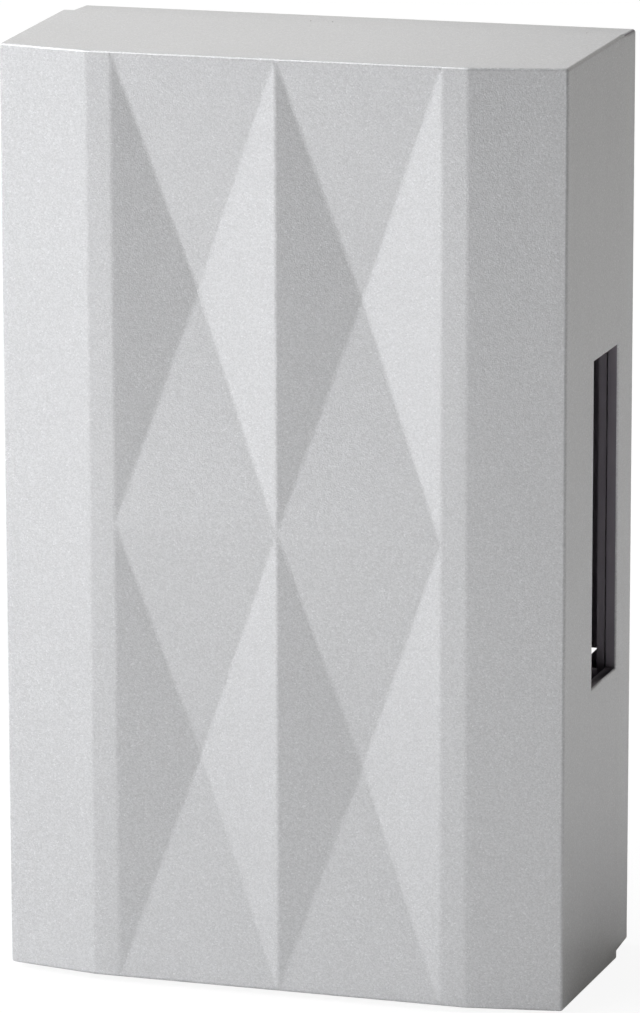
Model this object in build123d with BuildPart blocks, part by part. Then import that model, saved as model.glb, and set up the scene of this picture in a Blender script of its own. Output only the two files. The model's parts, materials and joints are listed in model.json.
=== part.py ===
"""Wall-mounted two-note door chime: a facetted lift-off cover over a solenoid striker and two tone bars.

The origin is the middle of the base's rear face. X runs to the right, the front faces -Y and Z is up.
A depth is a distance in front of the wall, so it is measured along -Y.
"""

import math
import os

from build123d import *

os.makedirs("parts", exist_ok=True)

# Outline of the box
body_width = 116.5
body_height = 190.0
front_depth = 55.2
band_depth = 51.6
wall_growth = 1.15
corner_radius = 0.7

# Front pattern: two flat strips beside two columns and two rows of sunken pyramids
strip_half_width = 39.05
pattern_half_width = 33.84
facet_depth = 3.1

# Cover
cover_wall = 2.2
slot_height = 67.0
slot_rear_depth = 13.85
slot_front_depth = 31.9
notch_depth = 1.1
notch_width = 2.0
tab_notch_width = 5.1
notch_place_shares = (-0.086, 0.9)
tab_notch_place_share = 0.02

# Base tray
plate_thickness = 2.5
rim_depth = 11.4
rim_step = 0.6
rim_taper = 0.4
lip_height = 2.2
lip_wall = 1.6
lip_clearance = 0.35

# Snap arms with the core-out openings beside them
arm_rim_gap = 0.95
arm_thickness = 1.7
arm_top_z = 32.6
arm_width = 12.4
arm_depth = 20.0
nib_length = 3.0
nib_clearance = 0.45
core_out_width = 5.8

# Fixings to the wall
wall_hole_spacing_x = 50.0
wall_hole_spacing_z = 120.0
wall_hole_radius = 2.25
keyhole_radius = 4.2
keyhole_rise = 8.0
cable_hole_radius = 6.0

# Tone bars, and what holds them
strike_depth = 21.0
bar_side_room = 19.75
bar_length = 140.0
bar_width = 25.0
bar_thickness = 3.0
bar_edge_chamfer = 0.4
bar_hole_radius = 4.0
bar_node_share = 0.224
seat_clearance = 0.1
grommet_flange_radius = 6.0
grommet_flange = 1.5
peg_radius = 2.0
peg_end = 1.2
post_thickness = 4.0
post_width = 9.0
retainer_radius = 4.5
retainer_thickness = 0.8

# Solenoid
coil_side_room = 23.5
flange_size = 24.0
flange_thickness = 1.5
flange_corner = 2.0
tube_wall = 1.1
winding_radius = 10.4
tape_thickness = 0.25
tape_width_share = 0.52
yoke_thickness = 2.0
yoke_height = 26.0
yoke_ear_width = 11.0
yoke_ear_reach = 11.0
yoke_tab_width = 7.0
spigot_reach = 0.6

# Plunger
core_radius = 4.0
core_overhang = 4.0
running_clearance = 0.08
pin_radius = 2.5
pin_root_radius = 1.6
pin_root_length = 6.0
fit_clearance = 0.02
left_gap = 2.0
right_gap = 7.0

# Return spring and its clip
spring_length = 12.2
spring_radius = 6.2
spring_wire_radius = 0.25
spring_turns = 6
clip_thickness = 1.0
clip_radius = 7.2
clip_groove = 0.4
clip_mouth = 3.4

# Screws
screw_shank_radius = 1.5
screw_head_radius = 3.0
screw_head_height = 1.9
small_shank_radius = 1.2
small_head_radius = 2.3
small_head_height = 1.5
thread_clearance = 0.05
recess_width = 0.7
boss_wall = 2.4

# Terminal block
block_width = 32.0
block_height = 13.0
block_depth = 11.0
block_floor = 2.0
block_wall = 1.5
block_seat_depth = 6.5
ear_length = 8.0
ear_thickness = 3.0
clamp_spacing = 16.0
clamp_size = 7.6
clamp_depth = 6.0

# Cable clamp
strap_hole_spacing = 18.0
strap_length = 26.0
strap_width = 7.0
strap_thickness = 2.0
strap_cable_radius = 3.2

# Coil leads
lead_radius = 0.6
lead_start_depth = 14.0

# Gaps above the cable hole, the cable clamp and the terminal block, as shares of the height left free there
stack_gap_shares = (0.17, 0.18, 0.28)

# One overrun serves all cuts
overrun = 1.0

# Sizes that follow from those above
bar_face_x = body_width / 2 - bar_side_room
coil_length = 2 * (bar_face_x - coil_side_room)
core_length = coil_length + core_overhang
bar_x = bar_face_x + bar_thickness / 2
bar_node_z = bar_length * (0.5 - bar_node_share)
grommet_length = bar_thickness + 2 * seat_clearance + 2 * grommet_flange
post_face_x = bar_x - grommet_length / 2 - seat_clearance
peg_tip_x = bar_x + grommet_length / 2 + 2 * seat_clearance + retainer_thickness + peg_end
yoke_wall_x = coil_length / 2 + seat_clearance
yoke_outer_x = yoke_wall_x + yoke_thickness
yoke_front_depth = strike_depth + flange_size / 2 + seat_clearance
yoke_seat_depth = strike_depth - flange_size / 2 - seat_clearance - yoke_thickness
yoke_screw_z = yoke_height / 2 + yoke_ear_reach / 2
bore_radius = core_radius + running_clearance
tube_radius = bore_radius + tube_wall
left_tip_x = -bar_face_x + left_gap
right_tip_x = bar_face_x - right_gap
core_left_x = (left_tip_x + right_tip_x - core_length) / 2
core_right_x = core_left_x + core_length
clip_x = -yoke_outer_x - spring_length - clip_thickness / 2 - seat_clearance
block_pocket_size = clamp_size + 2 * seat_clearance
clamp_seat_depth = block_seat_depth + block_floor + seat_clearance
wire_depth = clamp_seat_depth + clamp_depth / 2
ear_x = block_width / 2 + ear_length / 2


def half_width_at(depth):
    """Half of the box's width at a depth: it grows evenly from the front corners to the wall."""
    return body_width / 2 + wall_growth * (band_depth - depth) / band_depth


def half_height_at(depth):
    """Half of the box's height at a depth, with the same draft as the width."""
    return body_height / 2 + wall_growth * (band_depth - depth) / band_depth


def lip_inset():
    """Distance from the box's outer side to the outer side of the lip."""
    return cover_wall + lip_clearance


def at(x, depth, z):
    """Point at a place on the front view and a depth."""
    return (x, -depth, z)


def drafted_block(rear, front, inset, radius):
    """Block between two depths that follows the box's draft, with its sides moved in by the inset."""
    with BuildPart() as block:
        for depth in (rear, front):
            width = 2 * (half_width_at(depth) - inset)
            height = 2 * (half_height_at(depth) - inset)
            with BuildSketch(Plane.XZ.offset(depth)):
                if radius > 0:
                    RectangleRounded(width, height, radius)
                else:
                    Rectangle(width, height)
        loft()
    return block.part


def band_wedges(inset):
    """The two corner wedges whose removal leaves the sloping side bands, moved in by the inset."""
    corner_x = half_width_at(band_depth)
    slope = (front_depth - band_depth) / (corner_x - strip_half_width)
    shift = inset * math.hypot(1, slope)
    outer_x = corner_x + overrun
    with BuildPart() as wedges:
        with BuildSketch(Plane.XY):
            for side in (-1, 1):
                Polygon(
                    (side * strip_half_width, -front_depth + shift),
                    (side * outer_x, -band_depth + slope * overrun + shift),
                    (side * outer_x, -front_depth - overrun),
                    (side * strip_half_width, -front_depth - overrun),
                    align=None,
                )
        extrude(amount=body_height, both=True)
    return wedges.part


def facet_pyramids(mouth_depth):
    """Four pyramids in two columns and two rows, with their mouths at one depth and apexes behind it."""
    cell_height = half_height_at(front_depth)
    pyramids = []
    for column in (-1, 1):
        for row in (-1, 1):
            x = column * pattern_half_width / 2
            z = row * cell_height / 2
            with BuildPart() as pyramid:
                with BuildSketch(Plane.XZ.offset(mouth_depth), mode=Mode.PRIVATE) as mouth:
                    with Locations((x, z)):
                        Rectangle(pattern_half_width, cell_height)
                loft([mouth.sketch, Vertex(*at(x, mouth_depth - facet_depth, z))])
            pyramids.append(pyramid.part)
    return pyramids


def pan_screws(places, seat_depth, shank_length, shank, head, head_height):
    """Pan-head screws that point at the wall, with their heads on one seat and a cross recess in each."""
    with BuildPart() as screws:
        with BuildSketch(Plane.XZ.offset(seat_depth)):
            with Locations(*places):
                Circle(head)
        extrude(amount=head_height)
        fillet(screws.edges().group_by(Axis.Y)[0], head_height / 2)
        with BuildSketch(Plane.XZ.offset(seat_depth)):
            with Locations(*places):
                Circle(shank)
        extrude(amount=-shank_length)
        with BuildSketch(Plane.XZ.offset(seat_depth + head_height)):
            with Locations(*places):
                Rectangle(head, recess_width)
                Rectangle(recess_width, head)
        extrude(amount=-head_height / 2, mode=Mode.SUBTRACT)
    return screws.part


def boss_ring(places, front, shank, pilot_floor):
    """Screw bosses on the base plate up to one depth, and the pilot holes in them, as two parts."""
    with BuildPart() as bosses:
        with BuildSketch(Plane.XZ.offset(plate_thickness - fit_clearance)):
            with Locations(*places):
                Circle(shank + boss_wall)
        extrude(amount=front - plate_thickness + fit_clearance)
    with BuildPart() as pilots:
        with BuildSketch(Plane.XZ.offset(pilot_floor)):
            with Locations(*places):
                Circle(shank + thread_clearance)
        extrude(amount=front - pilot_floor + overrun)
    return bosses.part, pilots.part


def joined_arcs(points, tangents):
    """Two arcs between each pair of points, which leave and arrive along the tangents given there."""
    pieces = []
    for start, end, leave, arrive in zip(points, points[1:], tangents, tangents[1:]):
        span = end - start
        both = leave + arrive
        spread = 2 * (1 - leave.dot(arrive))
        along = span.dot(both)
        reach = (math.sqrt(along**2 + spread * span.dot(span)) - along) / spread
        first = start + leave * reach
        second = end - arrive * reach
        middle = (first + second) * 0.5
        pieces.append((start, middle, leave))
        pieces.append((middle, end, (second - first).normalized()))
    return pieces


# Places that follow from the room inside the tray: the snap arms, and the stack below the solenoid
tray_half_width = half_width_at(rim_depth + lip_height) - lip_inset() - lip_wall
tray_half_height = half_height_at(rim_depth + lip_height) - lip_inset() - lip_wall
arm_inner_x = tray_half_width - arm_rim_gap - arm_thickness
yoke_end_z = -yoke_height / 2 - yoke_ear_reach
free_height = tray_half_height + yoke_end_z - 2 * cable_hole_radius - strap_width - block_height
hole_gap, strap_gap, block_gap = (share * free_height for share in stack_gap_shares)
cable_hole_z = yoke_end_z - hole_gap - cable_hole_radius
strap_z = cable_hole_z - cable_hole_radius - strap_gap - strap_width / 2
block_z = strap_z - strap_width / 2 - block_gap - block_height / 2
clamp_top_z = block_z + clamp_size / 2
print("cable hole, strap and terminal block z", cable_hole_z, strap_z, block_z)

# Cover: the drafted shell, its facetted front, a sound slot in each side and the release notches
cover_outer = drafted_block(rim_depth, front_depth, 0, corner_radius)
cover_inner = drafted_block(rim_depth - overrun, front_depth - cover_wall, cover_wall, 0)

with BuildPart() as cover_core:
    add(cover_inner)
    add(band_wedges(cover_wall), mode=Mode.SUBTRACT)
    for pyramid in facet_pyramids(front_depth - cover_wall):
        add(pyramid, mode=Mode.SUBTRACT)

with BuildPart() as cover:
    add(cover_outer)
    add(band_wedges(0), mode=Mode.SUBTRACT)
    for pyramid in facet_pyramids(front_depth):
        add(pyramid, mode=Mode.SUBTRACT)
    add(cover_core.part, mode=Mode.SUBTRACT)
    slot_middle = (slot_rear_depth + slot_front_depth) / 2
    with BuildSketch(Plane.YZ):
        with Locations((-slot_middle, 0)):
            Rectangle(slot_front_depth - slot_rear_depth, slot_height)
    extrude(amount=body_width, both=True, mode=Mode.SUBTRACT)
    with BuildSketch(Plane.XZ.offset(rim_depth - overrun)):
        notch_height = 2 * cover_wall + 2 * overrun
        for share in notch_place_shares:
            with Locations((share * body_width / 2, half_height_at(rim_depth))):
                Rectangle(notch_width, notch_height)
        with Locations((tab_notch_place_share * body_width / 2, half_height_at(rim_depth))):
            Rectangle(tab_notch_width, notch_height)
    extrude(amount=notch_depth + overrun, mode=Mode.SUBTRACT)
cover.part.label = "cover"
export_step(cover.part, "parts/cover.step")


# Base: tray with its rim and lip, bar posts with pegs, snap arms, bosses, fixing and cable holes
def tray():
    """Back plate with the rim, which tapers to the wall, and the lip that goes inside the cover."""
    lip_depth = rim_depth + lip_height
    lip_half_width = half_width_at(lip_depth) - lip_inset()
    lip_half_height = half_height_at(lip_depth) - lip_inset()
    with BuildPart() as shell:
        for depth, inset in ((0, rim_step + rim_taper), (rim_depth, rim_step)):
            with BuildSketch(Plane.XZ.offset(depth)):
                RectangleRounded(
                    2 * (half_width_at(depth) - inset), 2 * (half_height_at(depth) - inset), corner_radius
                )
        loft()
        with BuildSketch(Plane.XZ.offset(rim_depth)):
            Rectangle(2 * lip_half_width, 2 * lip_half_height)
        extrude(amount=lip_height)
        with BuildSketch(Plane.XZ.offset(plate_thickness)):
            Rectangle(2 * (lip_half_width - lip_wall), 2 * (lip_half_height - lip_wall))
        extrude(amount=lip_depth, mode=Mode.SUBTRACT)
    return shell.part


def bar_posts():
    """Four posts on the plate, each with a peg that carries one end of a tone bar."""
    with BuildPart() as posts:
        with BuildSketch(Plane.XZ.offset(plate_thickness)):
            for side in (-1, 1):
                for end in (-1, 1):
                    with Locations((side * (post_face_x - post_thickness / 2), end * bar_node_z)):
                        Rectangle(post_thickness, post_width)
        extrude(amount=strike_depth + post_width / 2 - plate_thickness)
        for side in (-1, 1):
            with BuildSketch(Plane.YZ.offset(side * (post_face_x - post_thickness / 2))):
                with Locations((-strike_depth, -bar_node_z), (-strike_depth, bar_node_z)):
                    Circle(peg_radius)
            extrude(amount=side * (peg_tip_x - post_face_x + post_thickness / 2))
    return posts.part


def snap_arms():
    """Four upright arms beside the core-out openings, each with a nib towards the cover's wall."""
    cover_face_x = half_width_at(arm_depth) - cover_wall
    nib_reach = cover_face_x - nib_clearance - arm_inner_x - arm_thickness
    with BuildPart() as arms:
        for side in (-1, 1):
            inner = side * arm_inner_x
            outer = side * (arm_inner_x + arm_thickness)
            tip = side * (arm_inner_x + arm_thickness + nib_reach)
            for end in (-1, 1):
                middle_z = end * (arm_top_z + arm_width / 2)
                with BuildSketch(Plane.XY.offset(middle_z)):
                    Polygon(
                        (inner, -plate_thickness),
                        (outer, -plate_thickness),
                        (outer, -arm_depth + nib_length),
                        (tip, -arm_depth + nib_length / 2),
                        (outer, -arm_depth),
                        (inner, -arm_depth),
                        align=None,
                    )
        extrude(amount=arm_width / 2, both=True)
    return arms.part


def plate_openings():
    """Core-outs beside the arms, round wall-screw holes below, keyholes above and the cable hole."""
    hole_x = wall_hole_spacing_x / 2
    hole_z = wall_hole_spacing_z / 2
    with BuildPart() as openings:
        with BuildSketch(Plane.XZ):
            for side in (-1, 1):
                for end in (-1, 1):
                    middle_z = end * (arm_top_z + arm_width / 2)
                    with Locations((side * (arm_inner_x - core_out_width / 2), middle_z)):
                        Rectangle(core_out_width, arm_width)
                with Locations((side * hole_x, -hole_z)):
                    Circle(wall_hole_radius)
                with Locations((side * hole_x, hole_z - keyhole_rise)):
                    Circle(keyhole_radius)
                with Locations((side * hole_x, hole_z - keyhole_rise / 2)):
                    Rectangle(2 * wall_hole_radius, keyhole_rise)
                with Locations((side * hole_x, hole_z)):
                    Circle(wall_hole_radius)
            with Locations((0, cable_hole_z)):
                Circle(cable_hole_radius)
        extrude(amount=plate_thickness + overrun)
    return openings.part


yoke_screw_places = [(0, -yoke_screw_z), (0, yoke_screw_z)]
block_screw_places = [(-ear_x, block_z), (ear_x, block_z)]
strap_screw_places = [(-strap_hole_spacing / 2, strap_z), (strap_hole_spacing / 2, strap_z)]
pilot_floor = plate_thickness / 2

with BuildPart() as base:
    add(tray())
    add(bar_posts())
    add(snap_arms())
    add(plate_openings(), mode=Mode.SUBTRACT)
    for places, front, shank in (
        (yoke_screw_places, yoke_seat_depth, screw_shank_radius),
        (block_screw_places, block_seat_depth, small_shank_radius),
        (strap_screw_places, block_seat_depth, small_shank_radius),
    ):
        bosses, pilots = boss_ring(places, front, shank, pilot_floor)
        add(bosses)
        add(pilots, mode=Mode.SUBTRACT)
base.part.label = "base"
export_step(base.part, "parts/base.step")


# Tone bars: two tuned plates on edge, with a hole at each of the two still points of their ring
def tone_bar(side):
    """Plate beside one side wall, struck on the face that looks at the solenoid."""
    with BuildPart() as bar:
        with BuildSketch(Plane.YZ.offset(side * bar_face_x)):
            with Locations((-strike_depth, 0)):
                Rectangle(bar_width, bar_length)
        extrude(amount=side * bar_thickness)
        chamfer(bar.edges(), bar_edge_chamfer)
        with BuildSketch(Plane.YZ.offset(side * (bar_face_x - overrun))):
            with Locations((-strike_depth, -bar_node_z), (-strike_depth, bar_node_z)):
                Circle(bar_hole_radius)
        extrude(amount=side * (bar_thickness + 2 * overrun), mode=Mode.SUBTRACT)
    return bar.part


for side, name in ((-1, "tone_bar_left"), (1, "tone_bar_right")):
    tone_bar_part = tone_bar(side)
    tone_bar_part.label = name
    export_step(tone_bar_part, "parts/" + name + ".step")

# Grommets: a rubber spool on each peg, with the bar in its waist
with BuildPart() as grommets:
    for side in (-1, 1):
        spool_x = side * (bar_x - grommet_length / 2)
        for radius, start, length in (
            (grommet_flange_radius, 0, grommet_flange),
            (bar_hole_radius - seat_clearance, grommet_flange, bar_thickness + 2 * seat_clearance),
            (grommet_flange_radius, grommet_length - grommet_flange, grommet_flange),
        ):
            with BuildSketch(Plane.YZ.offset(spool_x + side * start)):
                with Locations((-strike_depth, -bar_node_z), (-strike_depth, bar_node_z)):
                    Circle(radius)
                    Circle(peg_radius + seat_clearance, mode=Mode.SUBTRACT)
            extrude(amount=side * length)
grommets.part.label = "tone_bar_grommets"
export_step(grommets.part, "parts/tone_bar_grommets.step")

# Retainers: push-on washers on the ends of the pegs
with BuildPart() as retainers:
    for side in (-1, 1):
        washer_x = side * (bar_x + grommet_length / 2 + seat_clearance)
        with BuildSketch(Plane.YZ.offset(washer_x)):
            with Locations((-strike_depth, -bar_node_z), (-strike_depth, bar_node_z)):
                Circle(retainer_radius)
                Circle(peg_radius + fit_clearance, mode=Mode.SUBTRACT)
                with PolarLocations(peg_radius, 3):
                    Rectangle(retainer_radius - peg_radius, peg_radius / 2, mode=Mode.SUBTRACT)
        extrude(amount=side * retainer_thickness)
retainers.part.label = "tone_bar_retainers"
export_step(retainers.part, "parts/tone_bar_retainers.step")

# Yoke: steel strip folded to a U round the coil, with an ear above and below for its screws
with BuildPart() as yoke:
    with BuildSketch(Plane.XZ.offset(yoke_seat_depth)):
        Rectangle(2 * yoke_outer_x, yoke_height)
        Rectangle(yoke_ear_width, yoke_height + 2 * yoke_ear_reach)
    extrude(amount=yoke_thickness)
    for side in (-1, 1):
        with BuildSketch(Plane.YZ.offset(side * yoke_wall_x)):
            with Locations((-(yoke_seat_depth + yoke_front_depth) / 2, 0)):
                Rectangle(yoke_front_depth - yoke_seat_depth, yoke_height)
            with Locations((-yoke_front_depth - yoke_thickness / 2, 0)):
                Rectangle(yoke_thickness, yoke_tab_width)
        extrude(amount=side * yoke_thickness)
    with BuildSketch(Plane.YZ):
        with Locations((-strike_depth, 0)):
            Circle(tube_radius + seat_clearance)
    extrude(amount=yoke_outer_x + overrun, both=True, mode=Mode.SUBTRACT)
    with BuildSketch(Plane.XZ.offset(yoke_seat_depth)):
        with Locations(*yoke_screw_places):
            Circle(screw_shank_radius + seat_clearance)
    extrude(amount=yoke_thickness + overrun, mode=Mode.SUBTRACT)
yoke.part.label = "solenoid_yoke"
export_step(yoke.part, "parts/solenoid_yoke.step")

# Yoke plate: closes the U in front of the coil, over the two tabs
with BuildPart() as yoke_plate:
    with BuildSketch(Plane.XZ.offset(yoke_front_depth)):
        Rectangle(2 * yoke_outer_x, yoke_height)
        tab_gap = 2 * thread_clearance
        tab_middle_x = yoke_wall_x + yoke_thickness / 2
        with Locations((-tab_middle_x, 0), (tab_middle_x, 0)):
            Rectangle(yoke_thickness + tab_gap, yoke_tab_width + tab_gap, mode=Mode.SUBTRACT)
    extrude(amount=yoke_thickness)
yoke_plate.part.label = "yoke_plate"
export_step(yoke_plate.part, "parts/yoke_plate.step")

# Bobbin: tube with a square flange at each end, and a spigot through each wall of the yoke
with BuildPart() as bobbin:
    with BuildSketch(Plane.YZ):
        with Locations((-strike_depth, 0)):
            Circle(tube_radius)
    extrude(amount=yoke_outer_x + spigot_reach, both=True)
    for side in (-1, 1):
        with BuildSketch(Plane.YZ.offset(side * coil_length / 2)):
            with Locations((-strike_depth, 0)):
                RectangleRounded(flange_size, flange_size, flange_corner)
        extrude(amount=-side * flange_thickness)
    with BuildSketch(Plane.YZ):
        with Locations((-strike_depth, 0)):
            Circle(bore_radius)
    extrude(amount=yoke_outer_x + spigot_reach + overrun, both=True, mode=Mode.SUBTRACT)
bobbin.part.label = "coil_bobbin"
export_step(bobbin.part, "parts/coil_bobbin.step")


def coil_sleeve(inner, outer, length):
    """Sleeve round the bobbin's tube, centred on it."""
    with BuildPart() as sleeve:
        with BuildSketch(Plane.YZ):
            with Locations((-strike_depth, 0)):
                Circle(outer)
                Circle(inner, mode=Mode.SUBTRACT)
        extrude(amount=length / 2, both=True)
    return sleeve.part


# Winding, and the tape round its middle
winding_length = coil_length - 2 * flange_thickness - 2 * seat_clearance
winding = coil_sleeve(tube_radius + fit_clearance, winding_radius, winding_length)
winding.label = "coil_winding"
export_step(winding, "parts/coil_winding.step")

tape_inner = winding_radius + fit_clearance
tape = coil_sleeve(tape_inner, tape_inner + tape_thickness, tape_width_share * winding_length)
tape.label = "coil_tape"
export_step(tape, "parts/coil_tape.step")

# Plunger core, with a hole in each end for a striker pin
with BuildPart() as core:
    with BuildSketch(Plane.YZ.offset(core_left_x)):
        with Locations((-strike_depth, 0)):
            Circle(core_radius)
    extrude(amount=core_length)
    chamfer(core.edges(), pin_root_radius / 4)
    for end_x, way in ((core_left_x, 1), (core_right_x, -1)):
        with BuildSketch(Plane.YZ.offset(end_x)):
            with Locations((-strike_depth, 0)):
                Circle(pin_root_radius + fit_clearance)
        extrude(amount=way * (pin_root_length + seat_clearance), mode=Mode.SUBTRACT)
core.part.label = "plunger_core"
export_step(core.part, "parts/plunger_core.step")


def striker_pin(root_x, tip_x, groove_x):
    """Plastic pin with a thin root in the core and a round tip, grooved for the spring clip if asked."""
    way = math.copysign(1, tip_x - root_x)
    with BuildPart() as pin:
        with BuildSketch(Plane.YZ.offset(root_x)):
            with Locations((-strike_depth, 0)):
                Circle(pin_radius)
        extrude(amount=tip_x - root_x)
        tip_edge = pin.edges().sort_by(Axis.X)[-1 if way > 0 else 0]
        fillet(tip_edge, pin_radius - fit_clearance)
        with BuildSketch(Plane.YZ.offset(root_x - way * pin_root_length)):
            with Locations((-strike_depth, 0)):
                Circle(pin_root_radius)
        extrude(amount=way * pin_root_length)
        if groove_x is not None:
            groove_width = clip_thickness + 2 * thread_clearance
            with BuildSketch(Plane.YZ.offset(groove_x - groove_width / 2)):
                with Locations((-strike_depth, 0)):
                    Circle(pin_radius + overrun)
                    Circle(pin_radius - clip_groove, mode=Mode.SUBTRACT)
            extrude(amount=groove_width, mode=Mode.SUBTRACT)
    return pin.part


pin_left = striker_pin(core_left_x, left_tip_x, clip_x)
pin_left.label = "striker_pin_left"
export_step(pin_left, "parts/striker_pin_left.step")

pin_right = striker_pin(core_right_x, right_tip_x, None)
pin_right.label = "striker_pin_right"
export_step(pin_right, "parts/striker_pin_right.step")

# Spring clip: open ring in the left pin's groove
with BuildPart() as clip:
    with BuildSketch(Plane.YZ.offset(clip_x - clip_thickness / 2)):
        with Locations((-strike_depth, 0)):
            Circle(clip_radius)
            Circle(pin_radius - clip_groove + thread_clearance, mode=Mode.SUBTRACT)
        with Locations((-strike_depth - clip_radius / 2, 0)):
            Rectangle(clip_radius, clip_mouth, mode=Mode.SUBTRACT)
    extrude(amount=clip_thickness)
clip.part.label = "spring_clip"
export_step(clip.part, "parts/spring_clip.step")


# Return spring: one wire wound round the plunger, between the clip and the yoke
def spring_points():
    """Points on the spring's middle line at each quarter turn, and the directions of the wire there."""
    start_x = clip_x + clip_thickness / 2 + seat_clearance / 2 + spring_wire_radius
    end_x = -yoke_outer_x - seat_clearance / 2 - spring_wire_radius
    quarters = 4 * spring_turns
    points = []
    tangents = []
    for step in range(quarters + 1):
        angle = step * math.pi / 2
        x = start_x + (end_x - start_x) * step / quarters
        across = spring_radius * math.cos(angle)
        up = spring_radius * math.sin(angle)
        points.append(Vector(x, -strike_depth + across, up))
        climb = (end_x - start_x) / (quarters * math.pi / 2)
        tangents.append(Vector(climb, -up, across).normalized())
    return points, tangents


spring_line_points, spring_line_tangents = spring_points()
spring_pitch = (spring_line_points[-1] - spring_line_points[0]).length / spring_turns
print("spring gap between turns", round(spring_pitch - 2 * spring_wire_radius, 2))

with BuildPart() as spring:
    with BuildLine() as spring_line:
        for start, end, leave in joined_arcs(spring_line_points, spring_line_tangents):
            TangentArc(start, end, tangent=leave)
    with BuildSketch(Plane(origin=spring_line_points[0], z_dir=spring_line_tangents[0])):
        Circle(spring_wire_radius)
    sweep(path=spring_line.wires()[0])
spring.part.label = "return_spring"
export_step(spring.part, "parts/return_spring.step")

# Screws that hold the yoke to the base
yoke_screw_length = yoke_seat_depth + yoke_thickness - pilot_floor - seat_clearance
yoke_screws = pan_screws(
    yoke_screw_places, yoke_seat_depth + yoke_thickness, yoke_screw_length,
    screw_shank_radius, screw_head_radius, screw_head_height,
)
yoke_screws.label = "solenoid_screws"
export_step(yoke_screws, "parts/solenoid_screws.step")

# Terminal block: moulded body with an ear at each end, a pocket for each clamp and a hole for each lead
clamp_xs = (-clamp_spacing / 2, clamp_spacing / 2)
with BuildPart() as block:
    with BuildSketch(Plane.XZ.offset(block_seat_depth)):
        with Locations((0, block_z)):
            Rectangle(block_width, block_height)
    extrude(amount=block_depth)
    with BuildSketch(Plane.XZ.offset(block_seat_depth)):
        with Locations((0, block_z)):
            Rectangle(block_width + 2 * ear_length, block_height - 2 * block_wall)
    extrude(amount=ear_thickness)
    with BuildSketch(Plane.XZ.offset(block_seat_depth)):
        with Locations(*block_screw_places):
            Circle(small_shank_radius + seat_clearance)
    extrude(amount=ear_thickness + overrun, mode=Mode.SUBTRACT)
    with BuildSketch(Plane.XZ.offset(block_seat_depth + block_floor)):
        with Locations(*[(x, block_z) for x in clamp_xs]):
            Rectangle(block_pocket_size, block_pocket_size)
    extrude(amount=block_depth, mode=Mode.SUBTRACT)
    with BuildSketch(Plane.XY.offset(block_z)):
        with Locations(*[(x, -wire_depth) for x in clamp_xs]):
            Circle(lead_radius + seat_clearance)
    extrude(amount=block_height, both=True, mode=Mode.SUBTRACT)
block.part.label = "terminal_block"
export_step(block.part, "parts/terminal_block.step")

# Clamps: a brass cage for each terminal, with the thread for its screw
with BuildPart() as clamps:
    with BuildSketch(Plane.XZ.offset(clamp_seat_depth)):
        with Locations(*[(x, block_z) for x in clamp_xs]):
            Rectangle(clamp_size, clamp_size)
    extrude(amount=clamp_depth)
    with BuildSketch(Plane.XZ.offset(clamp_seat_depth + clamp_depth / 3)):
        with Locations(*[(x, block_z) for x in clamp_xs]):
            Circle(small_shank_radius + thread_clearance)
    extrude(amount=clamp_depth, mode=Mode.SUBTRACT)
clamps.part.label = "terminal_clamps"
export_step(clamps.part, "parts/terminal_clamps.step")

terminal_screws = pan_screws(
    [(x, block_z) for x in clamp_xs], clamp_seat_depth + clamp_depth, clamp_depth / 2,
    small_shank_radius, small_head_radius, small_head_height,
)
terminal_screws.label = "terminal_screws"
export_step(terminal_screws, "parts/terminal_screws.step")

# Screws through the ears of the terminal block
block_screws = pan_screws(
    block_screw_places, block_seat_depth + ear_thickness,
    block_seat_depth + ear_thickness - pilot_floor - seat_clearance,
    small_shank_radius, small_head_radius, small_head_height,
)
block_screws.label = "terminal_block_screws"
export_step(block_screws, "parts/terminal_block_screws.step")

# Cable clamp: strap with an arch over the incoming cable
with BuildPart() as strap:
    with BuildSketch(Plane.XY.offset(strap_z)):
        with Locations((0, -block_seat_depth - strap_thickness / 2)):
            Rectangle(strap_length, strap_thickness)
        with Locations((0, -block_seat_depth)):
            Circle(strap_cable_radius + strap_thickness)
            Circle(strap_cable_radius, mode=Mode.SUBTRACT)
        with Locations((0, -block_seat_depth + strap_length / 2)):
            Rectangle(strap_length, strap_length, mode=Mode.SUBTRACT)
    extrude(amount=strap_width / 2, both=True)
    with BuildSketch(Plane.XZ.offset(block_seat_depth)):
        with Locations(*strap_screw_places):
            Circle(small_shank_radius + seat_clearance)
    extrude(amount=strap_thickness + overrun, mode=Mode.SUBTRACT)
strap.part.label = "cable_clamp"
export_step(strap.part, "parts/cable_clamp.step")

strap_screws = pan_screws(
    strap_screw_places, block_seat_depth + strap_thickness,
    block_seat_depth + strap_thickness - pilot_floor - seat_clearance,
    small_shank_radius, small_head_radius, small_head_height,
)
strap_screws.label = "cable_clamp_screws"
export_step(strap_screws, "parts/cable_clamp_screws.step")


# Coil leads: from each flange of the bobbin down to its terminal clamp
def lead_points(side):
    """Corners of one lead's route, from the flange's lower edge past the cable clamp to the terminal."""
    flange_x = side * (coil_length - flange_thickness) / 2
    beside_x = side * (strap_length / 2 + 3 * lead_radius)
    entry_x = side * clamp_spacing / 2
    flange_z = -flange_size / 2
    entry_z = block_z + block_height / 2
    drop = flange_z - strap_z
    return [
        at(flange_x, lead_start_depth, flange_z),
        at(flange_x, lead_start_depth, flange_z - drop / 3),
        at(beside_x, wire_depth, flange_z - 2 * drop / 3),
        at(beside_x, wire_depth, strap_z + strap_width / 2),
        at(entry_x, wire_depth, entry_z + strap_width / 2),
        at(entry_x, wire_depth, clamp_top_z),
    ]


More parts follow.
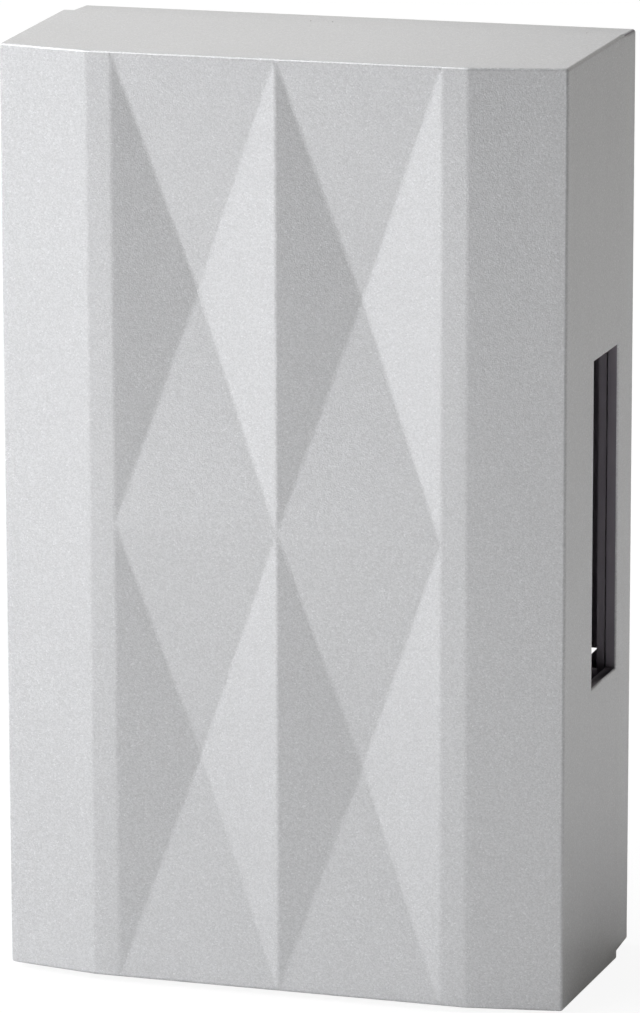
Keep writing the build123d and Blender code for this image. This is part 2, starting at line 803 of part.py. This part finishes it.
def corner_radii(points):
    """As large an arc at each corner as its shorter run allows."""
    radii = []
    for before, here, after in zip(points, points[1:], points[2:]):
        arriving = Vector(*here) - Vector(*before)
        leaving = Vector(*after) - Vector(*here)
        turn = math.radians(arriving.get_angle(leaving))
        radii.append(0.45 * min(arriving.length, leaving.length) / math.tan(turn / 2))
    return radii


for side, name in ((-1, "coil_lead_a"), (1, "coil_lead_b")):
    route = lead_points(side)
    radii = corner_radii(route)
    print(name, "radii", [round(radius, 1) for radius in radii])
    with BuildPart() as lead:
        with BuildLine() as lead_line:
            FilletPolyline(*route, radius=radii)
        with BuildSketch(Plane(origin=route[0], z_dir=lead_line.wires()[0] % 0)):
            Circle(lead_radius)
        sweep(path=lead_line.wires()[0])
    lead_volume = math.pi * lead_radius**2 * lead_line.wires()[0].length
    print(name, "volume over section times length", round(lead.part.volume / lead_volume, 4))
    lead.part.label = name
    export_step(lead.part, "parts/" + name + ".step")
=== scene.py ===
"""Looks of a wall-mounted two-note door chime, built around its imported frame. Lengths are in metres."""

import json
import math

import bmesh
import bpy
from mathutils import Matrix, Vector


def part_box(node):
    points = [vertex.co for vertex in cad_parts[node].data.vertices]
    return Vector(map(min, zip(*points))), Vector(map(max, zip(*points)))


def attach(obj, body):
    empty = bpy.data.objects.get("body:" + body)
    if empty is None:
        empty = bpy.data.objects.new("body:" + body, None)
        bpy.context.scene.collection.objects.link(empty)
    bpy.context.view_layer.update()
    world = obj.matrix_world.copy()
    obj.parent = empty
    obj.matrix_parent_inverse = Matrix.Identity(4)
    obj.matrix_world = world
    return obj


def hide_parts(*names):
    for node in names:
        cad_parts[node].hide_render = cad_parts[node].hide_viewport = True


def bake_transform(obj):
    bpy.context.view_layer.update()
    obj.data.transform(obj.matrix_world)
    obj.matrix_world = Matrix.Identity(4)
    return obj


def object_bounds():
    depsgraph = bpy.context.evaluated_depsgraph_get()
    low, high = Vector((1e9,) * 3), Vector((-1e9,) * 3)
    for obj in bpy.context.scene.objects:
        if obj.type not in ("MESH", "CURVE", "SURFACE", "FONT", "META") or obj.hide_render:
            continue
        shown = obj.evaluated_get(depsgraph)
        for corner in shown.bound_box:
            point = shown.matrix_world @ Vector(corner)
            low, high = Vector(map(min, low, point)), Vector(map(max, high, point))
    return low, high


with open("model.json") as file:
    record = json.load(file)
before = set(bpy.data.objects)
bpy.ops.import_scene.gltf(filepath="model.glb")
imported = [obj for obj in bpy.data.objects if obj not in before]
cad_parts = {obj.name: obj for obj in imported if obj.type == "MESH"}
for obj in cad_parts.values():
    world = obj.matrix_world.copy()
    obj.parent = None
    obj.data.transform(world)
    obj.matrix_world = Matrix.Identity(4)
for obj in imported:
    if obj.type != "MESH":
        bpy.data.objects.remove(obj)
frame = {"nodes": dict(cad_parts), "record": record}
cad_low, cad_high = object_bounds()
nodes = frame["nodes"]

# Camera, fitted to the edges of the box in the photograph
camera_azimuth = 0.298
camera_elevation = 0.2295
camera_roll = 0.0022
camera_distance = 1.26497
camera_target = Vector((-0.0079, 0.0, -0.0074))
camera_lens = 217.02
sensor_size = 36.0
camera_near = 0.01
camera_far = 50.0

# Roundings, each the width of its bevel
ridge_rounding = 0.00045
crown_rounding = 0.00055
sole_rounding = 0.0007
corner_rounding = 0.0006
edge_rounding = 0.0006
slot_rounding = 0.0004
rim_rounding = 0.0003
rounding_segments = 4
flat_face_weight = 100

# Limits that tell the edges and faces of the mouldings apart
front_normal = 0.5
wall_normal = 0.9
flat_angle = math.radians(0.6)
sharp_angle = math.radians(2.5)
step_angle = math.radians(30.0)
merge_distance = 1e-6
snap_distance = 2e-5
corner_room = 0.00075
draft = 0.00115 / 0.0516
cover_rear = 0.0114
band_edge = 0.0516
outer_skin = 0.0009
front_skin = 0.0042
slot_reach = 0.036
slot_rear = 0.0125
edge_reach = 0.03

# Noise: scales in waves to a metre
NOISE_ROUGHNESS = 0.6
CLOUD_SCALE = 22.0
STAIN_SCALE = 60.0
RUB_SCALE = 240.0
GRAIN_SCALE = 800.0
LINE_SCALE = 2600.0
STREAK_SCALE = 420.0
SCRATCH_SCALE = 900.0

# Paint: its colours, how far each covers the one below, and the height of its unevenness
PAINT_TONES = ((0.54, 0.54, 0.543), (0.68, 0.68, 0.685))
PAINT_ROUGHNESS = (0.38, 0.5)
PAINT_METALLIC = 0.55
PAINT_PEEL = 0.00001
FLAKE_TILT = 5.0
# Painted highlight: the brightest few flakes take a near-white colour that stands in for the sparkle of light
# off the flakes
GLINT_TONE = (0.9, 0.9, 0.91)
GLINT_START = 0.96
GLINT_SHARE = 0.35
CLOUD_TONE = (0.5, 0.5, 0.51)
CLOUD_LIMITS = (0.35, 0.7)
CLOUD_SHARE = 0.1
SCUFF_TONE = (0.8, 0.8, 0.81)
SCUFF_SHARE = 0.16
SCUFF_ROUGHNESS = 0.1
SCUFF_CENTRE = (0.0588, -0.0260, 0.0690)
SCUFF_REACH = 0.019
SCUFF_CORE_SHARE = 0.2
SCRATCH_SLANT = 0.6
SCRATCH_STRETCH = 0.12
SCRATCH_LIMITS = (0.56, 0.7)

# Plain and ground finishes: limits of their masks, and how deep their grain and lines are
STAIN_LIMITS = (0.4, 0.7)
RUB_LIMITS = (0.35, 0.65)
GRAIN_STRENGTH = 0.5
GRAIN_HEIGHT = 0.00003
STREAK_SHARE = 0.5
TONE_LIMITS = (0.35, 0.65)
LINE_LIMITS = (0.3, 0.7)
LINE_STRENGTH = 0.4
LINE_HEIGHT = 0.00002

# Coil winding and return spring
turn_pitch = 0.00062
turn_steps = 6
coil_steps = 56
coil_bore = 0.0055
spring_turns = 6
spring_steps = 40
spring_wire = 0.00025
wire_sides = 8

# Studio
WORLD_STRENGTH = 0.03
FLOOR_COLOUR = (0.92, 0.92, 0.92)
FLOOR_GLOW = 0.86
FLOOR_SEEN = 1.06
FLOOR_ROUGHNESS = 0.9
floor_reach = 6.0
floor_gap = 0.0002


def camera():
    """Camera at the photograph's viewing angle."""
    data = bpy.data.cameras.new("camera")
    data.sensor_width = sensor_size
    data.lens = camera_lens
    data.clip_start = camera_near
    data.clip_end = camera_far
    eye = bpy.data.objects.new("camera", data)
    bpy.context.scene.collection.objects.link(eye)
    back = Vector((
        math.sin(camera_azimuth) * math.cos(camera_elevation),
        -math.cos(camera_azimuth) * math.cos(camera_elevation),
        math.sin(camera_elevation),
    ))
    eye.location = camera_target + back * camera_distance
    eye.rotation_mode = "QUATERNION"
    turn = (-back).to_track_quat("-Z", "Y")
    eye.rotation_quaternion = turn @ Matrix.Rotation(-camera_roll, 3, "Z").to_quaternion()
    bpy.context.scene.camera = eye


class Shader:
    """A material's or a group's node tree, with short calls to add and join nodes."""

    def __init__(self, tree):
        self.tree = tree

    def add(self, kind, values=None, **settings):
        """New node with its settings, and numbers or joined outputs on its named sockets."""
        node = self.tree.nodes.new(kind)
        for name, value in settings.items():
            setattr(node, name, value)
        for name, value in (values or {}).items():
            socket = node.inputs[name]
            if isinstance(value, bpy.types.NodeSocket):
                self.tree.links.new(value, socket)
            else:
                socket.default_value = value
        return node

    def join(self, output, socket):
        """Joins an output to an input."""
        self.tree.links.new(output, socket)

    def maths(self, operation, first, second=0.0, third=0.0):
        """Sum, product or the like of two or three values."""
        return self.add("ShaderNodeMath", {0: first, 1: second, 2: third}, operation=operation).outputs[0]

    def noise(self, vector, scale, detail):
        """Noise between 0 and 1."""
        values = {"Vector": vector, "Scale": scale, "Detail": detail, "Roughness": NOISE_ROUGHNESS}
        return self.add("ShaderNodeTexNoise", values).outputs["Fac"]

    def mix(self, share, first, second):
        """Colour between two colours."""
        node = self.add("ShaderNodeMix", {"Factor": share}, data_type="RGBA")
        for index, value in ((6, first), (7, second)):
            if isinstance(value, bpy.types.NodeSocket):
                self.tree.links.new(value, node.inputs[index])
            else:
                node.inputs[index].default_value = (*value, 1.0)
        return node.outputs[2]

    def spread(self, value, low, high, start=0.0, end=1.0):
        """Value moved from one range to another, held at the ends."""
        limits = {"Value": value, "From Min": low, "From Max": high, "To Min": start, "To Max": end}
        return self.add("ShaderNodeMapRange", limits, clamp=True).outputs[0]


def new_group(name, inputs, outputs):
    """Node group with named inputs and outputs, its shader, and its input and output nodes."""
    tree = bpy.data.node_groups.new(name, "ShaderNodeTree")
    for label, kind, value in inputs:
        socket = tree.interface.new_socket(label, in_out="INPUT", socket_type=kind)
        if value is not None:
            socket.default_value = value
    for label, kind in outputs:
        tree.interface.new_socket(label, in_out="OUTPUT", socket_type=kind)
    shader = Shader(tree)
    return tree, shader, shader.add("NodeGroupInput").outputs, shader.add("NodeGroupOutput").inputs


def flake_group():
    """Metallic paint: a random tone for each flake, a fine tilt, an orange peel and a slow cloud."""
    tree, shader, given, made = new_group(
        "paint_flakes",
        [("Vector", "NodeSocketVector", None), ("Flake Scale", "NodeSocketFloat", 4200.0),
         ("Tilt Scale", "NodeSocketFloat", 3800.0), ("Peel Scale", "NodeSocketFloat", 900.0)],
        [("Flake", "NodeSocketFloat"), ("Tilt", "NodeSocketFloat"), ("Peel", "NodeSocketFloat"),
         ("Cloud", "NodeSocketFloat")],
    )
    cells = shader.add("ShaderNodeTexVoronoi", {"Vector": given["Vector"], "Scale": given["Flake Scale"]})
    tone = shader.add("ShaderNodeSeparateColor", {"Color": cells.outputs["Color"]}).outputs["Red"]
    tilt = shader.noise(given["Vector"], given["Tilt Scale"], 1.0)
    peel = shader.noise(given["Vector"], given["Peel Scale"], 2.0)
    cloud = shader.noise(given["Vector"], CLOUD_SCALE, 3.0)
    for output, value in (("Flake", tone), ("Tilt", tilt), ("Peel", peel), ("Cloud", cloud)):
        shader.join(value, made[output])
    return tree


def grain_group():
    """Moulding grain and handling marks: a colour mask, a roughness mask and a height."""
    tree, shader, given, made = new_group(
        "surface_grain",
        [("Vector", "NodeSocketVector", None), ("Scale", "NodeSocketFloat", GRAIN_SCALE)],
        [("Stain", "NodeSocketFloat"), ("Rub", "NodeSocketFloat"), ("Height", "NodeSocketFloat")],
    )
    stain = shader.noise(given["Vector"], STAIN_SCALE, 5.0)
    rub = shader.noise(given["Vector"], RUB_SCALE, 4.0)
    height = shader.noise(given["Vector"], given["Scale"], 4.0)
    for output, value in (("Stain", stain), ("Rub", rub), ("Height", height)):
        shader.join(value, made[output])
    return tree


def brush_group():
    """Fine grinding lines along one axis: the vector's stretch gives their direction."""
    tree, shader, given, made = new_group(
        "grinding_lines",
        [("Vector", "NodeSocketVector", None), ("Stretch", "NodeSocketVector", (1.0, 1.0, 1.0))],
        [("Line", "NodeSocketFloat"), ("Streak", "NodeSocketFloat")],
    )
    along = shader.add(
        "ShaderNodeVectorMath", {0: given["Vector"], 1: given["Stretch"]}, operation="MULTIPLY"
    ).outputs[0]
    shader.join(shader.noise(along, LINE_SCALE, 2.0), made["Line"])
    shader.join(shader.noise(along, STREAK_SCALE, 3.0), made["Streak"])
    return tree


def scuff_group():
    """Soft patch of handling marks around one place, made of short slanting scratches."""
    tree, shader, given, made = new_group(
        "scuff_patch",
        [("Vector", "NodeSocketVector", None), ("Centre", "NodeSocketVector", (0.0, 0.0, 0.0)),
         ("Reach", "NodeSocketFloat", 0.02)],
        [("Mark", "NodeSocketFloat")],
    )
    offset = shader.add(
        "ShaderNodeVectorMath", {0: given["Vector"], 1: given["Centre"]}, operation="SUBTRACT"
    ).outputs[0]
    distance = shader.add("ShaderNodeVectorMath", {0: offset}, operation="LENGTH").outputs["Value"]
    near = shader.spread(shader.maths("DIVIDE", distance, given["Reach"]), SCUFF_CORE_SHARE, 1.0, 1.0, 0.0)
    slant = shader.add(
        "ShaderNodeMapping",
        {"Vector": offset, "Rotation": (SCRATCH_SLANT, 0.0, 0.0), "Scale": (1.0, SCRATCH_STRETCH, 1.0)},
    ).outputs[0]
    lines = shader.spread(shader.noise(slant, SCRATCH_SCALE, 3.0), *SCRATCH_LIMITS)
    shader.join(shader.maths("MULTIPLY", near, lines), made["Mark"])
    return tree


def new_material(name):
    """Material with its shader, its Principled BSDF and the piece's own coordinates."""
    material = bpy.data.materials.new(name)
    material.use_nodes = True
    shader = Shader(material.node_tree)
    surface = material.node_tree.nodes["Principled BSDF"]
    place = shader.add("ShaderNodeTexCoord").outputs["Object"]
    return material, shader, surface, place


def bumped(shader, surface, height, strength, distance):
    """Joins a height to the surface's normal."""
    bump = shader.add("ShaderNodeBump", {"Height": height, "Strength": strength, "Distance": distance})
    shader.join(bump.outputs["Normal"], surface.inputs["Normal"])


def silver_paint(flakes, scuffs):
    """Silver metallic paint with fine flakes and painted glints, a slow cloud and a scuff on the right side
    wall.
    """
    material, shader, surface, place = new_material("silver_paint")
    coat = shader.add("ShaderNodeGroup", {"Vector": place}, node_tree=flakes).outputs
    scuff = shader.add(
        "ShaderNodeGroup", {"Vector": place, "Centre": SCUFF_CENTRE, "Reach": SCUFF_REACH}, node_tree=scuffs
    ).outputs["Mark"]
    dark, light = PAINT_TONES
    colour = shader.mix(shader.spread(coat["Flake"], 0.0, 1.0), dark, light)
    # Painted glints: a lighter colour on the brightest flakes, in place of light glinting off them
    glint = shader.spread(coat["Flake"], GLINT_START, 1.0, 0.0, GLINT_SHARE)
    colour = shader.mix(glint, colour, GLINT_TONE)
    cloud = shader.spread(coat["Cloud"], *CLOUD_LIMITS, 0.0, CLOUD_SHARE)
    colour = shader.mix(cloud, colour, CLOUD_TONE)
    colour = shader.mix(shader.maths("MULTIPLY", scuff, SCUFF_SHARE), colour, SCUFF_TONE)
    shader.join(colour, surface.inputs["Base Color"])
    roughness = shader.spread(coat["Flake"], 0.0, 1.0, *PAINT_ROUGHNESS)
    scuffed = shader.maths("MULTIPLY_ADD", scuff, SCUFF_ROUGHNESS, roughness)
    shader.join(scuffed, surface.inputs["Roughness"])
    surface.inputs["Metallic"].default_value = PAINT_METALLIC
    uneven = shader.maths("MULTIPLY_ADD", coat["Tilt"], FLAKE_TILT, coat["Peel"])
    bumped(shader, surface, uneven, 1.0, PAINT_PEEL)
    return material


def plain_finish(name, grain, colour, stained, roughness, metallic=0.0):
    """Moulded, plated or rubber finish with its own stains, rubbed places and grain."""
    material, shader, surface, place = new_material(name)
    marks = shader.add("ShaderNodeGroup", {"Vector": place}, node_tree=grain).outputs
    mixed = shader.mix(shader.spread(marks["Stain"], *STAIN_LIMITS), colour, stained)
    shader.join(mixed, surface.inputs["Base Color"])
    shader.join(shader.spread(marks["Rub"], *RUB_LIMITS, *roughness), surface.inputs["Roughness"])
    surface.inputs["Metallic"].default_value = metallic
    bumped(shader, surface, marks["Height"], GRAIN_STRENGTH, GRAIN_HEIGHT)
    return material


def ground_finish(name, brushed, grain, stretch, colour, stained, roughness):
    """Ground or drawn metal: fine lines along one axis, and a thin uneven stain."""
    material, shader, surface, place = new_material(name)
    lines = shader.add("ShaderNodeGroup", {"Vector": place, "Stretch": stretch}, node_tree=brushed).outputs
    marks = shader.add("ShaderNodeGroup", {"Vector": place}, node_tree=grain).outputs
    stain = shader.maths("MULTIPLY", marks["Stain"], 1.0 - STREAK_SHARE)
    tone = shader.maths("MULTIPLY_ADD", lines["Streak"], STREAK_SHARE, stain)
    mixed = shader.mix(shader.spread(tone, *TONE_LIMITS), colour, stained)
    shader.join(mixed, surface.inputs["Base Color"])
    shader.join(shader.spread(lines["Line"], *LINE_LIMITS, *roughness), surface.inputs["Roughness"])
    surface.inputs["Metallic"].default_value = 1.0
    bumped(shader, surface, lines["Line"], LINE_STRENGTH, LINE_HEIGHT)
    return material


def dress(piece, material):
    """Gives a piece one material all over."""
    piece.data.materials.clear()
    piece.data.materials.append(material)


def placed(name, mesh, body, node, materials):
    """Piece from a mesh, in place of a CAD node, that rides on a body and takes a slot's finish."""
    data = bpy.data.meshes.new(name)
    mesh.to_mesh(data)
    mesh.free()
    piece = bpy.data.objects.new(name, data)
    bpy.context.scene.collection.objects.link(piece)
    for material in materials:
        data.materials.append(material)
    data.polygons.foreach_set("use_smooth", [True] * len(data.polygons))
    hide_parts(node)
    if body:
        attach(piece, body)
    return piece


def square_corners(mesh):
    """Moves the facets of the box's rounded corners out to the sharp corner, which the bevel rounds again."""
    for vertex in mesh.verts:
        point = vertex.co
        side, end = half_sizes(point.y)
        if side - abs(point.x) < corner_room and end - abs(point.z) < corner_room:
            point.y = -band_edge if point.y < -(band_edge + cover_rear) / 2 else -cover_rear
            side, end = half_sizes(point.y)
            point.x = math.copysign(side, point.x)
            point.z = math.copysign(end, point.z)
    bmesh.ops.remove_doubles(mesh, verts=mesh.verts, dist=snap_distance)
    bmesh.ops.dissolve_degenerate(mesh, dist=snap_distance, edges=mesh.edges)


def merged_copy(node, squared=False):
    """Mesh of a CAD node with its loose triangles joined into whole flat faces."""
    mesh = bmesh.new()
    mesh.from_mesh(nodes[node].data)
    bmesh.ops.remove_doubles(mesh, verts=mesh.verts, dist=merge_distance)
    if squared:
        square_corners(mesh)
    bmesh.ops.dissolve_limit(
        mesh, angle_limit=flat_angle, use_dissolve_boundaries=False, verts=mesh.verts, edges=mesh.edges
    )
    mesh.normal_update()
    return mesh


def half_sizes(y):
    """Half of the box's width and height at a depth: the box is widest at the cover's rear."""
    inset = -draft * (y + cover_rear)
    return cad_high.x - inset, cad_high.z - inset


def skin_gap(point):
    """Distance from a point in to the nearest of the box's drafted side walls."""
    side, end = half_sizes(point.y)
    return min(side - abs(point.x), end - abs(point.z))


def is_outside(face):
    """Whether a face of the cover or base belongs to the painted outside of the box."""
    point = face.calc_center_median()
    if face.normal.y > front_normal:
        return False
    if point.y < cad_low.y + front_skin:
        return True
    return skin_gap(point) < outer_skin


def cover_rounding(edge):
    """Width of the bevel of one edge of the cover, from the two faces that meet there."""
    if len(edge.link_faces) != 2 or edge.calc_face_angle(0.0) < sharp_angle:
        return 0.0
    first, second = (face.normal for face in edge.link_faces)
    if first.y > second.y:
        first, second = second, first
    if second.y < -front_normal:
        return ridge_rounding
    middle = (edge.verts[0].co + edge.verts[1].co) / 2
    if first.y < -front_normal and middle.y < cad_low.y + front_skin:
        if abs(second.z) > wall_normal:
            return crown_rounding if second.z > 0 else sole_rounding
        return corner_rounding
    if skin_gap(middle) > outer_skin:
        return 0.0
    if abs(middle.z) < slot_reach and middle.y < -slot_rear:
        return slot_rounding
    if second.y > wall_normal:
        return rim_rounding
    along = edge.verts[0].co - edge.verts[1].co
    return edge_rounding if abs(along.y) > edge_reach else 0.0


def moulded(name, mesh, node, body, materials):
    """Painted moulding, bare and dark inside, whose sharp edges stay sharp."""
    for face in mesh.faces:
        face.material_index = 0 if is_outside(face) else 1
    weight = mesh.edges.layers.float.get("bevel_weight_edge")
    for edge in mesh.edges:
        rounded = weight is not None and edge[weight] > 0
        edge.smooth = rounded or len(edge.link_faces) == 2 and edge.calc_face_angle(0.0) < step_angle
    piece = placed(name, mesh, body, node, materials)
    smooth = piece.modifiers.new("flat faces", "WEIGHTED_NORMAL")
    smooth.keep_sharp = True
    smooth.weight = flat_face_weight
    return piece


def cover_shell(materials):
    """Cover with the soft ridges and edges of a painted moulding."""
    mesh = merged_copy("cover", squared=True)
    widths = [cover_rounding(edge) for edge in mesh.edges]
    widest = max(widths)
    layer = mesh.edges.layers.float.new("bevel_weight_edge")
    for edge, width in zip(mesh.edges, widths):
        edge[layer] = width / widest
    piece = moulded("cover_shell", mesh, "cover", "cover", materials)
    bevel = piece.modifiers.new("rounding", "BEVEL")
    bevel.limit_method = "WEIGHT"
    bevel.offset_type = "OFFSET"
    bevel.width = widest
    bevel.segments = rounding_segments
    bevel.material = 0
    piece.modifiers.move(1, 0)


def base_tray(materials):
    """Base with a painted rim and a bare, dark inside."""
    moulded("base_tray", merged_copy("base"), "base", "base_unit", materials)


def coil_turns(material):
    """Close turns of enamelled wire, as a body of revolution with one bead for each turn."""
    low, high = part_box("coil_winding")
    middle_y, middle_z = (low.y + high.y) / 2, (low.z + high.z) / 2
    outer = (high.z - low.z) / 2
    count = round((high.x - low.x) / turn_pitch)
    pitch = (high.x - low.x) / count
    profile = [(low.x, coil_bore)]
    for turn in range(count):
        for step in range(turn_steps):
            angle = math.pi * step / (turn_steps - 1)
            x = low.x + pitch * (turn + 0.5) - math.cos(angle) * pitch / 2
            profile.append((x, outer - pitch / 2 + math.sin(angle) * pitch / 2))
    profile.append((high.x, coil_bore))
    mesh = bmesh.new()
    points = [mesh.verts.new((x, middle_y, middle_z + radius)) for x, radius in profile]
    points.append(points[0])
    edges = [mesh.edges.new(pair) for pair in zip(points, points[1:])]
    bmesh.ops.spin(
        mesh, geom=mesh.verts[:] + edges, cent=(0.0, middle_y, middle_z), axis=(1.0, 0.0, 0.0),
        angle=math.tau, steps=coil_steps, use_merge=True,
    )
    bmesh.ops.recalc_face_normals(mesh, faces=mesh.faces)
    placed("coil_turns", mesh, "base_unit", "coil_winding", [material])


def spring_coil(material):
    """Return spring as a round wire that closes up between the yoke and the clip."""
    low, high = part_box("return_spring")
    middle_y, middle_z = (low.y + high.y) / 2, (low.z + high.z) / 2
    ring = (high.z - low.z) / 2 - spring_wire
    first_x, last_x = high.x - spring_wire, low.x + spring_wire
    mesh = bmesh.new()
    rings = []
    for step in range(spring_turns * spring_steps + 1):
        share = step / (spring_turns * spring_steps)
        angle = math.tau * spring_turns * share
        # The wire lies flat for about half a turn at each end
        along = (share * (spring_turns + 1) - 0.5) / spring_turns
        x = first_x + (last_x - first_x) * min(max(along, 0.0), 1.0)
        out = Vector((0.0, math.sin(angle), math.cos(angle)))
        centre = Vector((x, middle_y, middle_z)) + out * ring
        rings.append([
            mesh.verts.new(
                centre + (out * math.cos(turn) + Vector((1.0, 0.0, 0.0)) * math.sin(turn)) * spring_wire
            )
            for turn in (math.tau * side / wire_sides for side in range(wire_sides))
        ])
    for one, two in zip(rings, rings[1:]):
        for side in range(wire_sides):
            beside = (side + 1) % wire_sides
            mesh.faces.new((one[side], one[beside], two[beside], two[side]))
    mesh.faces.new(rings[0])
    mesh.faces.new(rings[-1])
    bmesh.ops.recalc_face_normals(mesh, faces=mesh.faces)
    piece = placed("spring_coil", mesh, None, "return_spring", [material])
    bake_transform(piece)


def chosen_for_camera(shader, lit, plain, share, out):
    """Shows one shader to the camera, by a share, and the other to everything else."""
    path = shader.add("ShaderNodeLightPath")
    seen = shader.maths("MULTIPLY", path.outputs["Is Camera Ray"], share)
    mixed = shader.add("ShaderNodeMixShader", {0: seen})
    shader.join(lit.outputs[0], mixed.inputs[1])
    shader.join(plain.outputs[0], mixed.inputs[2])
    shader.join(mixed.outputs[0], out.inputs["Surface"])


def white_world():
    """Faint even light, and a white backdrop for the camera."""
    world = bpy.data.worlds.new("studio")
    bpy.context.scene.world = world
    world.use_nodes = True
    shader = Shader(world.node_tree)
    back = world.node_tree.nodes["Background"]
    back.inputs["Color"].default_value = (1.0, 1.0, 1.0, 1.0)
    back.inputs["Strength"].default_value = WORLD_STRENGTH
    white = shader.add("ShaderNodeBackground", {"Color": (1.0, 1.0, 1.0, 1.0), "Strength": 1.0})
    chosen_for_camera(shader, back, white, 1.0, world.node_tree.nodes["World Output"])


def paper_floor():
    """Pale floor under the box, which keeps its shadow."""
    mesh = bmesh.new()
    bmesh.ops.create_grid(mesh, x_segments=1, y_segments=1, size=floor_reach)
    bmesh.ops.translate(mesh, verts=mesh.verts, vec=(0, 0, cad_low.z - floor_gap))
    data = bpy.data.meshes.new("floor")
    mesh.to_mesh(data)
    mesh.free()
    floor = bpy.data.objects.new("floor", data)
    bpy.context.scene.collection.objects.link(floor)
    material, shader, surface, _ = new_material("floor_paper")
    surface.inputs["Base Color"].default_value = (*FLOOR_COLOUR, 1.0)
    surface.inputs["Roughness"].default_value = FLOOR_ROUGHNESS
    glow = shader.add("ShaderNodeEmission", {"Color": (1.0, 1.0, 1.0, 1.0), "Strength": FLOOR_SEEN})
    chosen_for_camera(shader, surface, glow, FLOOR_GLOW, material.node_tree.nodes["Material Output"])
    dress(floor, material)


def soft_lamps():
    """Square soft lamps around the box, all turned to its middle."""
    for name, azimuth, elevation, distance, size, power, colour in LAMPS:
        data = bpy.data.lights.new(name, "AREA")
        data.shape = "SQUARE"
        data.size = size
        data.energy = power
        data.color = colour
        lamp = bpy.data.objects.new(name, data)
        bpy.context.scene.collection.objects.link(lamp)
        a, e = math.radians(azimuth), math.radians(elevation)
        way = Vector((math.sin(a) * math.cos(e), -math.cos(a) * math.cos(e), math.sin(e)))
        lamp.location = way * distance
        lamp.rotation_mode = "QUATERNION"
        lamp.rotation_quaternion = way.to_track_quat("Z", "Y")


# Lamps: name, azimuth and elevation in degrees, distance, side, power and colour
LAMPS = [
    ("left_key", -80.0, 12.0, 2.0, 1.4, 28.0, (0.955, 0.972, 1.0)),
    ("front_left_fill", -25.0, 10.0, 2.0, 0.9, 1.7, (0.98, 0.99, 1.0)),
    ("low_left_card", -30.0, -8.0, 0.6, 0.15, 0.3, (0.97, 0.98, 1.0)),
    ("low_right_card", 10.0, -8.0, 0.6, 0.15, 0.08, (0.97, 0.98, 1.0)),
    ("high_left", -40.0, 40.0, 2.0, 1.2, 15.5, (0.99, 0.99, 1.0)),
    ("top_left", -80.0, 60.0, 2.0, 1.2, 19.0, (0.985, 0.99, 1.0)),
    ("back_left", -150.0, 30.0, 2.2, 1.4, 8.8, (1.0, 0.99, 0.97)),
    ("back_right", 150.0, 30.0, 2.2, 1.4, 5.5, (1.0, 0.98, 0.94)),
    ("right_side", 120.0, 10.0, 2.0, 1.0, 3.2, (1.0, 0.97, 0.92)),
]

bpy.context.scene.view_settings.view_transform = "Standard"
camera()
grain = grain_group()
brushed = brush_group()

paint = silver_paint(flake_group(), scuff_group())
moulding = plain_finish("black_moulding", grain, (0.3, 0.27, 0.305), (0.33, 0.3, 0.335), (0.4, 0.6))
cover_shell([paint, moulding])
base_tray([paint, moulding])

finishes = {
    "bar_steel": ground_finish(
        "ground_steel", brushed, grain, (1.0, 1.0, 0.03), (0.62, 0.62, 0.63), (0.5, 0.5, 0.52), (0.2, 0.38)
    ),
    "core_steel": ground_finish(
        "turned_steel", brushed, grain, (1.0, 0.05, 0.05), (0.52, 0.52, 0.54), (0.4, 0.4, 0.4), (0.2, 0.36)
    ),
    "spring_steel": ground_finish(
        "spring_wire", brushed, grain, (1.0, 0.2, 0.2), (0.4, 0.4, 0.42), (0.3, 0.3, 0.31), (0.25, 0.4)
    ),
    "zinc_steel": plain_finish("zinc_plate", grain, (0.62, 0.63, 0.66), (0.52, 0.54, 0.52), (0.3, 0.5), 1.0),
    "screw_steel": plain_finish("screw_plate", grain, (0.6, 0.6, 0.6), (0.45, 0.45, 0.44), (0.25, 0.4), 1.0),
    "black_rubber": plain_finish("rubber", grain, (0.03, 0.03, 0.032), (0.05, 0.05, 0.05), (0.6, 0.85)),
    "white_nylon": plain_finish("nylon", grain, (0.75, 0.73, 0.66), (0.68, 0.65, 0.56), (0.35, 0.55)),
    "black_phenolic": plain_finish("phenolic", grain, (0.04, 0.04, 0.042), (0.06, 0.06, 0.06), (0.35, 0.6)),
    "coil_copper": plain_finish(
        "enamelled_copper", grain, (0.55, 0.2, 0.07), (0.4, 0.13, 0.05), (0.25, 0.4), 1.0
    ),
    "coil_tape": plain_finish("amber_tape", grain, (0.65, 0.42, 0.08), (0.55, 0.33, 0.06), (0.2, 0.35)),
    "brass": plain_finish("brass", grain, (0.65, 0.45, 0.18), (0.5, 0.33, 0.14), (0.25, 0.45), 1.0),
    "red_insulation": plain_finish("red_pvc", grain, (0.45, 0.02, 0.02), (0.35, 0.015, 0.015), (0.3, 0.5)),
    "black_insulation": plain_finish("black_pvc", grain, (0.02, 0.02, 0.02), (0.03, 0.03, 0.03), (0.3, 0.5)),
}
slots = {entry["node"]: entry["material_slot"] for entry in frame["record"]["subparts"]}
for name, piece in nodes.items():
    if slots[name] in finishes:
        dress(piece, finishes[slots[name]])
coil_turns(finishes["coil_copper"])
spring_coil(finishes["spring_steel"])

white_world()
paper_floor()
soft_lamps()
